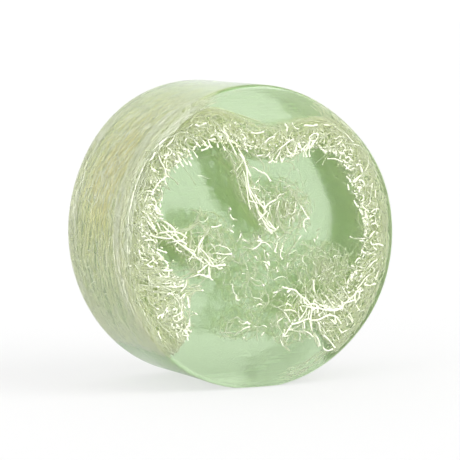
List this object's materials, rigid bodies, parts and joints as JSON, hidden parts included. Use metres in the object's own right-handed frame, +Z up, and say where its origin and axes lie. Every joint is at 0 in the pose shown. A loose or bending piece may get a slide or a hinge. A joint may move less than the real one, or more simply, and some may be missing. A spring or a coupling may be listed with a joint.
{
  "type": "loofah soap bar",
  "caption": "Round bar of clear green glycerine soap cast round a cross slice of natural loofah, for washing and scrubbing skin; it stands on its rim.",
  "frame": {"origin": "bottom centre of the bounding box, on the worn flat that the bar stands on", "axes": "+Z up as the bar stands on its rim, +Y along the bar's axis from the front cut face to the back cut face, +X to the right seen from the front"},
  "size_m": [0.0757, 0.034, 0.076],
  "materials": {
    "soap": "clear pale green glycerine, satin from the knife on the cut faces",
    "mat_fibre": "matte tan and cream plant fibre under the soap",
    "sponge_fibre": "matte yellow-green plant fibre, white at the cut ends",
    "lining_fibre": "matte cream plant fibre, white at the cut ends",
    "strand_fibre": "matte off-white plant fibre"
  },
  "bodies": {
    "root": {"soap_casting": "soap", "outer_fibre_mat": "mat_fibre", "sponge_wall": "sponge_fibre", "right_chamber_lining": "lining_fibre", "left_chamber_lining": "lining_fibre", "upper_septum": "strand_fibre", "left_septum": "strand_fibre", "right_septum": "strand_fibre", "stray_fibre": "strand_fibre", "left_net": "strand_fibre", "upper_net": "strand_fibre", "centre_net": "strand_fibre", "right_net": "strand_fibre", "lower_net": "strand_fibre", "loose_tuft": "strand_fibre"}
  },
  "joints": []
}
